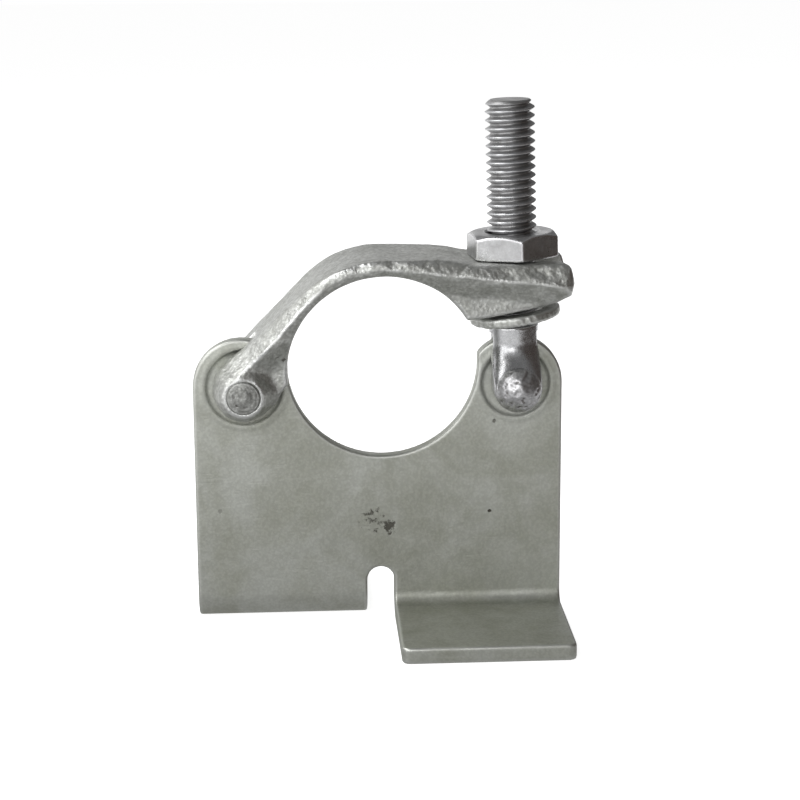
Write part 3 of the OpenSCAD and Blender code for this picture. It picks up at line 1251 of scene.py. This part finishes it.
@dataclass
class Rivet(Solid):
    """A rivet along Y with a peened head at each end."""

    place: Point2
    shank_r: float
    head_r: float
    face: float
    rise: float
    dent: float
    dent_size: float
    ring_r: float = 0.0
    rim: float = 0.3
    under: float = 0.6
    seeds: tuple[int, int, int] = (71, 74, 63)

    def shape(self, x: Array, y: Array, z: Array) -> Array:
        """Distance to the rivet.

        Args:
            x: Places along X.
            y: Places along Y.
            z: Places along Z.

        Returns:
            Signed distance.
        """
        dx, dz = x - self.place[0], z - self.place[1]
        q = np.hypot(dx, dz)
        across = np.abs(y)
        ball = (self.head_r**2 + self.rise**2) / (2 * self.rise)
        centre = self.face + self.rise - ball
        dome = np.hypot(q, np.maximum(across - centre, 0)) - ball
        broad, fine, gap = self.seeds
        marks = lumps(dx, y, dz, self.dent_size, broad) + 0.35 * lumps(dx, y, dz, self.dent_size * 0.5, fine)
        dome = dome + self.dent * np.maximum(marks, -0.2)
        if self.ring_r:
            ring = np.exp(-(((q - self.ring_r) / 0.5) ** 2))
            dome = dome + 0.2 * ring * ease(-0.5, 0.5, lumps(dx, 0.0, dz, 9.0, gap))
        head = trim(trim(dome, q - self.head_r, self.rim), self.face - self.under - across, 0.3)
        return np.minimum(head, np.maximum(q - self.shank_r, across - self.face - 0.5))

    def reach(self) -> tuple[Point3, Point3]:
        """The space that holds the rivet."""
        x, z, r, end = *self.place, self.head_r + 0.8, self.face + self.rise + 0.8
        return (x - r, -end, z - r), (x + r, end, z + r)


# ---------------------------------------------------------------- finishes

PLATE_FINISH = ZincFinish(
    "greenish_satin_zinc", light=(0.565, 0.58, 0.535), dark=(0.45, 0.46, 0.4), edge=(0.66, 0.67, 0.64),
    grime_and_painted_shade=(0.10, 0.095, 0.08), roughness=(0.42, 0.54), cloud_size=55.0, grain_size=900.0,
    grain_height=0.00004, wave_height=0.00025, speckle=0.16, scratch=0.07, edge_amount=0.55, pit_amount=0.12,
    stains=(
        Stain((-2.6, -2.1, -41.2), 10.0, 0.8), Stain((1.2, -2.1, -43.6), 6.0, 0.9, 0.6),
        Stain((27.2, -2.1, -39.5), 1.2, 1.0, 0.8), Stain((28.4, -2.1, -15.5), 1.2, 0.7, 0.72),
        Stain((-42.0, -2.1, -38.0), 1.7, 0.35, 0.66),
    ),
)
FORGING_FINISH = ZincFinish(
    "forged_zinc", light=(0.60, 0.61, 0.585), dark=(0.48, 0.49, 0.46), edge=(0.80, 0.81, 0.80),
    grime_and_painted_shade=(0.14, 0.135, 0.12), roughness=(0.32, 0.46), cloud_size=70.0, grain_size=700.0,
    grain_height=0.00019, wave_height=0.0003, wave_size=160.0, speckle=0.28, edge_amount=0.6, pit_amount=0.3,
    stains=(Stain((-25.0, -11.6, 3.3), 1.7, 0.95, 0.9), Stain((-27.0, -11.6, 3.9), 3.2, 0.5, 0.56)),
)
BRIGHT_FINISH = ZincFinish(
    "bright_zinc", light=(0.55, 0.555, 0.565), dark=(0.43, 0.435, 0.445), edge=(0.84, 0.84, 0.85),
    grime_and_painted_shade=(0.16, 0.15, 0.14), roughness=(0.2, 0.32), cloud_size=90.0, grain_size=1500.0,
    grain_height=0.00002, wave_height=0.0001, wave_size=200.0, speckle=0.15, edge_amount=0.5, pit_amount=0.15,
)
HEAD_FINISH = ZincFinish(
    "hammered_bright_zinc", light=(0.6, 0.6, 0.61), dark=(0.42, 0.42, 0.43), edge=(0.82, 0.82, 0.83),
    grime_and_painted_shade=(0.12, 0.11, 0.10), roughness=(0.26, 0.42), cloud_size=160.0, grain_size=1100.0,
    grain_height=0.00003, speckle=0.12, edge_amount=0.3, pit_amount=0.3,
)
WASHER_FINISH = ZincFinish(
    "satin_washer_zinc", light=(0.58, 0.59, 0.56), dark=(0.46, 0.47, 0.44), edge=(0.74, 0.75, 0.73),
    grime_and_painted_shade=(0.14, 0.13, 0.11), roughness=(0.34, 0.46), cloud_size=90.0, grain_size=800.0,
    grain_height=0.00008, speckle=0.25, edge_amount=0.6, pit_amount=0.25,
)
NUT_FINISH = ZincFinish(
    "machined_nut_zinc", light=(0.54, 0.545, 0.55), dark=(0.41, 0.41, 0.415), edge=(0.78, 0.78, 0.79),
    grime_and_painted_shade=(0.16, 0.14, 0.13), roughness=(0.22, 0.34), cloud_size=130.0, grain_size=1300.0,
    grain_height=0.00003, wave_height=0.0001, wave_size=180.0, speckle=0.12, edge_amount=0.5, pit_amount=0.12,
)
DULL_FINISH = ZincFinish(
    "dull_peened_steel", light=(0.42, 0.425, 0.41), dark=(0.29, 0.295, 0.28), edge=(0.55, 0.56, 0.54),
    grime_and_painted_shade=(0.1, 0.095, 0.085), roughness=(0.38, 0.52), cloud_size=150.0, grain_size=900.0,
    grain_height=0.00012, speckle=0.3, edge_amount=0.3, pit_amount=0.4,
)


# ---------------------------------------------------------------- studio


@dataclass
class Studio:
    """Pale floor, soft light and the camera, in metres and degrees."""

    floor_z: float = -0.0679
    floor_half: float = 3.0
    floor_light: float = 0.8
    floor_glow: Point2 = (0.42, 1.2)
    painted_shadow_span: Point2 = (0.08, 0.4)
    sky: float = 0.2
    card_near: Point2 = (0.16, -0.45)
    card_far: Point2 = (0.3, 0.2)
    card_low: float = -0.067
    card_top: float = 0.25
    card_glow: float = 0.055
    camera_at: Point3 = (-0.0242, -0.5274, 0.11805)
    yaw: float = 3.107
    pitch: float = 13.633
    roll: float = -0.349
    lens: float = 95.69

    def build(self) -> None:
        """Makes the floor, the light and the camera."""
        self._floor()
        self._sky()
        self._light("key_left", (-0.5, -0.42, 0.22), (0.0, 0.0, 0.0), (0.34, 0.5), 1.05)
        self._light("fill_front", (-0.25, -0.9, 0.35), (0.0, 0.0, 0.0), (0.6, 0.4), 2.4)
        self._light("high_left", (-0.5, -0.05, 0.6), (0.0, 0.0, 0.0), (0.5, 0.5), 2.9)
        self._light("side_left", (-0.6, 0.36, 0.42), (0.0, 0.0, 0.0), (0.5, 0.5), 1.05)
        self._light("back", (-0.2, 0.8, 0.25), (0.0, 0.0, 0.05), (0.9, 0.5), 0.8)
        self._card()
        self._camera()

    @staticmethod
    def _sheet(
        names: tuple[str, str], corners: list[Point3], base: Colour, glow: Colour, strength: float
    ) -> tuple[bpy.types.Object, Board]:
        """A flat sheet of dull, faintly glowing card.

        Args:
            names: Names of the sheet and of its material.
            corners: Its four corners, in order.
            base: Its colour.
            glow: Colour of its glow.
            strength: Strength of its glow.

        Returns:
            The sheet, and the board of its material.
        """
        name, finish = names
        mesh = bpy.data.meshes.new(name)
        mesh.from_pydata(corners, [], [(0, 1, 2, 3)])
        sheet = bpy.data.objects.new(name, mesh)
        bpy.context.scene.collection.objects.link(sheet)
        material = bpy.data.materials.new(finish)
        material.use_nodes = True
        board = Board(material.node_tree)
        shader = board.tree.nodes["Principled BSDF"]
        shader.inputs["Base Color"].default_value = (*base, 1)
        shader.inputs["Roughness"].default_value = 0.9
        shader.inputs["Emission Color"].default_value = (*glow, 1)
        shader.inputs["Emission Strength"].default_value = strength
        mesh.materials.append(material)
        return sheet, board

    @staticmethod
    def _seen_or_soft(board: Board, soft: bpy.types.Node, seen: bpy.types.Node, out: bpy.types.Node) -> None:
        """Shows one shader to the camera and another to everything else.

        Args:
            board: The board of the shaders.
            soft: What lights the object.
            seen: What the camera sees.
            out: The output node.
        """
        mix = board.add("ShaderNodeMixShader")
        board.put(board.add("ShaderNodeLightPath").outputs["Is Camera Ray"], mix.inputs[0])
        board.put(soft.outputs[0], mix.inputs[1])
        board.put(seen.outputs[0], mix.inputs[2])
        board.put(mix.outputs[0], out.inputs[0])

    def _floor(self) -> None:
        """A wide pale floor that looks even to the camera; to the object it glows, dimmer close by as a
        painted shadow, so the object reflects it darker close by.
        """
        r, z = self.floor_half, self.floor_z
        corners = [(-r, -r, z), (r, -r, z), (r, r, z), (-r, r, z)]
        names = ("studio_floor", "pale_floor")
        _, board = self._sheet(names, corners, (0.9, 0.9, 0.9), (1, 1, 1), self.floor_light)
        away = board.add("ShaderNodeVectorMath", operation="LENGTH")
        board.put(board.add("ShaderNodeTexCoord").outputs["Object"], away.inputs[0])
        glow = board.add("ShaderNodeEmission")
        # Painted shadow: the glow that lights the object and shows in its reflections is dimmer close to it.
        strength = board.span(away.outputs["Value"], *self.painted_shadow_span, *self.floor_glow)
        board.put(strength, glow.inputs["Strength"])
        nodes = board.tree.nodes
        self._seen_or_soft(board, glow, nodes["Principled BSDF"], nodes["Material Output"])

    def _sky(self) -> None:
        """White where the camera looks past the floor, and a softer grey on the object."""
        world = bpy.data.worlds.new("soft_studio")
        bpy.context.scene.world = world
        world.use_nodes = True
        board = Board(world.node_tree)
        board.tree.nodes.clear()
        soft, seen = board.add("ShaderNodeBackground"), board.add("ShaderNodeBackground")
        for node, strength in ((soft, self.sky), (seen, 1.0)):
            node.inputs["Color"].default_value = (1, 1, 1, 1)
            node.inputs["Strength"].default_value = strength
        self._seen_or_soft(board, soft, seen, board.add("ShaderNodeOutputWorld"))

    def _card(self) -> None:
        """A dark brown card at the right, which the bright metal reflects."""
        far, near, low, high = self.card_far, self.card_near, self.card_low, self.card_top
        corners = [(*far, low), (*near, low), (*near, high), (*far, high)]
        names = ("dark_card", "brown_card")
        card, _ = self._sheet(names, corners, (0.012, 0.01, 0.008), (1.0, 0.8, 0.7), self.card_glow)
        card.visible_camera = False

    @staticmethod
    def _light(name: str, at: Point3, to: Point3, size: Point2, power: float) -> None:
        """A large soft light.

        Args:
            name: Name of the light.
            at: Where it stands.
            to: What it faces.
            size: Its width and height.
            power: Its power in watts.
        """
        data = bpy.data.lights.new(name, "AREA")
        data.shape = "RECTANGLE"
        data.size, data.size_y = size
        data.energy = power
        away = np.subtract(at, to)
        z_axis = away / np.linalg.norm(away)
        x_axis = np.cross((0.0, 0.0, 1.0), z_axis)
        x_axis = x_axis / np.linalg.norm(x_axis)
        stand(name, data, (x_axis, np.cross(z_axis, x_axis), z_axis), at)

    def _camera(self) -> None:
        """A long lens in front, a little above and to the left."""
        yaw, pitch, roll = (math.radians(v) for v in (self.yaw, self.pitch, self.roll))
        level = math.cos(pitch)
        ahead = np.array([math.sin(yaw) * level, math.cos(yaw) * level, -math.sin(pitch)])
        right = np.array([math.cos(yaw), -math.sin(yaw), 0.0])
        up = np.cross(right, ahead)
        x_axis = right * math.cos(roll) + up * math.sin(roll)
        y_axis = -right * math.sin(roll) + up * math.cos(roll)
        data = bpy.data.cameras.new("studio_camera")
        data.lens = self.lens
        data.sensor_width = 36.0
        data.sensor_fit = "HORIZONTAL"
        bpy.context.scene.camera = stand("studio_camera", data, (x_axis, y_axis, -ahead), self.camera_at)


def stand(name: str, data: bpy.types.ID, axes: Sequence[Array], at: Point3) -> bpy.types.Object:
    """Stands a light or a camera in the scene.

    Args:
        name: Name of the object.
        data: The light or the camera.
        axes: Its own X, Y and Z axes.
        at: Where it stands.

    Returns:
        The object.
    """
    thing = bpy.data.objects.new(name, data)
    bpy.context.scene.collection.objects.link(thing)
    pose = Matrix(axes).transposed().to_4x4()
    pose.translation = at
    thing.matrix_world = pose
    return thing


def main() -> None:
    """Builds every piece and the studio."""
    logging.basicConfig(level=logging.INFO, format="%(name)s: %(message)s")
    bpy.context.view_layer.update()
    bpy.context.scene.view_settings.view_transform = "Standard"
    effects = Effects()
    axes = BoltAxes.from_frame(frame["joints"])
    Studio().build()
    hinge_rivet = Rivet(
        "peened_hinge_rivet", "hinge_rivet", Slot.RIVET, Body.FLAP, 0.22, place=(-35.2, -5.6), shank_r=4.0,
        head_r=4.7, face=13.8, rise=1.15, dent=0.07, dent_size=2.6, ring_r=2.3, rim=1.1,
    )
    bolt_rivet = Rivet(
        "hammered_bolt_rivet", "bolt_rivet", Slot.BRIGHT, Body.BOLT, 0.22, place=(33.8, -5.6), shank_r=4.2,
        head_r=5.8, face=10.6, rise=4.15, dent=0.13, dent_size=2.4,
    )
    for piece, finish in (
        (Plate("pressed_plate", "body_plate", Slot.PLATE, Body.PLATE, 0.5), PLATE_FINISH),
        (Flap("forged_flap", "flap", Slot.FORGING, Body.FLAP, 0.42), FORGING_FINISH),
        (hinge_rivet, DULL_FINISH),
        (SwingBolt("threaded_swing_bolt", "swing_bolt", Slot.BRIGHT, Body.BOLT, 0.3, axes), BRIGHT_FINISH),
        (bolt_rivet, HEAD_FINISH),
        (Washer("loose_washer_ring", "washer", Slot.WASHER, Body.WASHER, 0.3), WASHER_FINISH),
        (Nut("hexagon_nut", "nut", Slot.NUT, Body.NUT, 0.28, axes), NUT_FINISH),
    ):
        piece.build(finish.build(effects))


if __name__ == "__main__":
    main()
